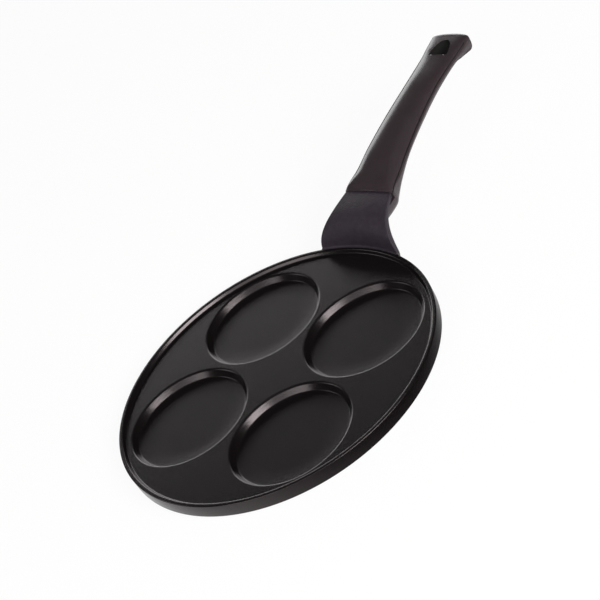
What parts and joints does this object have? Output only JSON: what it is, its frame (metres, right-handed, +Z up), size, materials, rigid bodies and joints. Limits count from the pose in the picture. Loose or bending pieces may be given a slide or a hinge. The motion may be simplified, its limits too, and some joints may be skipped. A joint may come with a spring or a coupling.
{
  "type": "pancake pan",
  "caption": "Low round pan with round cups sunk in its plate, an arched cast neck and a long moulded handle with a hanging hole, for frying small round pancakes.",
  "frame": {"origin": "centre of the round base, on the surface that the pan stands on", "axes": "+Z up out of the cups, +Y from the pan's centre along the handle, +X to the right"},
  "size_m": [0.26, 0.4503, 0.0668],
  "materials": {
    "coated_cast_aluminium": "satin black non-stick coat",
    "phenolic": "satin moulded",
    "zinc_plated_steel": "satin"
  },
  "bodies": {
    "root": {"pan_body": "coated_cast_aluminium", "handle": "phenolic", "handle_screw": "zinc_plated_steel", "spring_washer": "zinc_plated_steel"}
  },
  "joints": []
}
